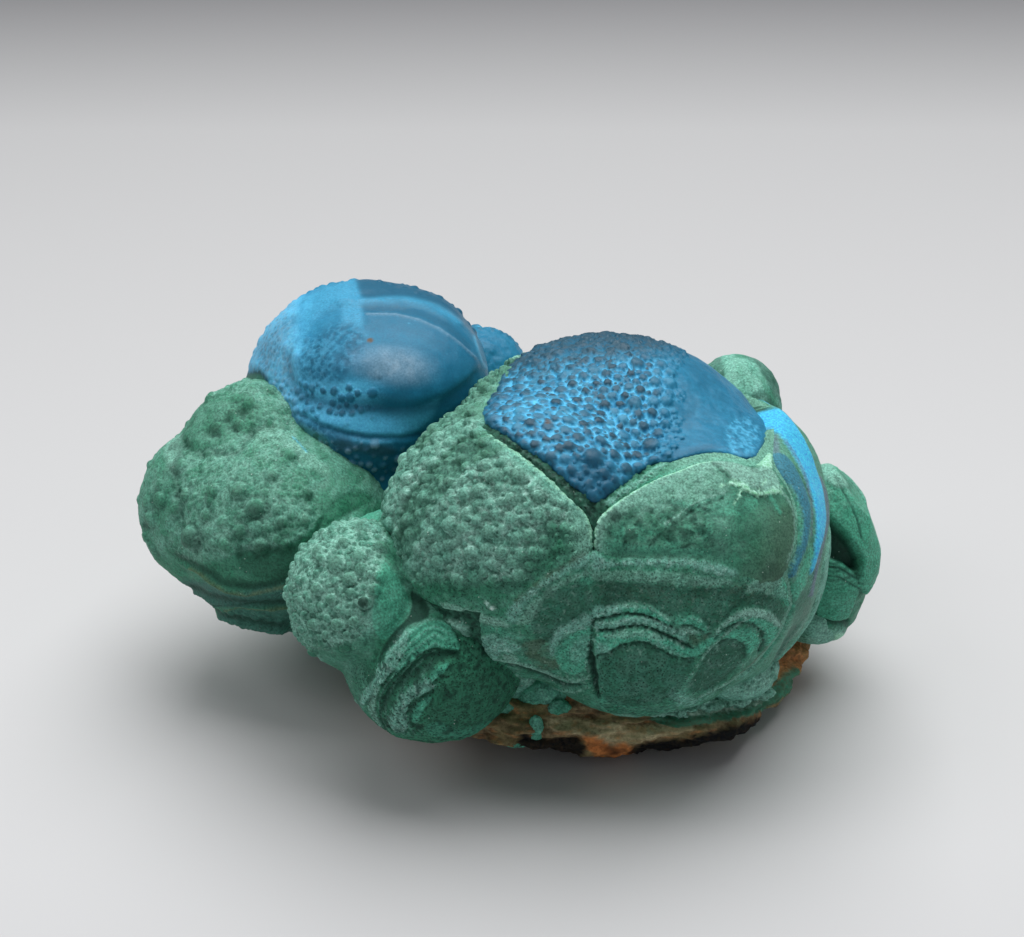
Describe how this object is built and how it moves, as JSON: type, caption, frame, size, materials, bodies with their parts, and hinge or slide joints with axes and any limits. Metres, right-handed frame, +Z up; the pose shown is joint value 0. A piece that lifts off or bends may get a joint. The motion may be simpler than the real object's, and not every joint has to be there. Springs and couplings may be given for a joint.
{
  "type": "botryoidal chrysocolla and malachite specimen",
  "caption": "Cabinet-size mineral specimen: rounded green malachite lobes with blue chrysocolla caps, bumpy and terraced, on a rough brown host rock that it stands on.",
  "frame": {"origin": "on the floor under the centre of the specimen's bounding box", "axes": "+X to the viewer's right in the picture, along the specimen's length; -Y towards the viewer; +Z up"},
  "size_m": [0.126, 0.0863, 0.0637],
  "materials": {
    "malachite_chrysocolla": "satin to matte botryoidal malachite with chrysocolla skins",
    "limonite": "rough earthy iron-oxide host rock"
  },
  "bodies": {
    "root": {"botryoidal_crust": "malachite_chrysocolla", "limonite_matrix": "limonite"}
  },
  "joints": []
}
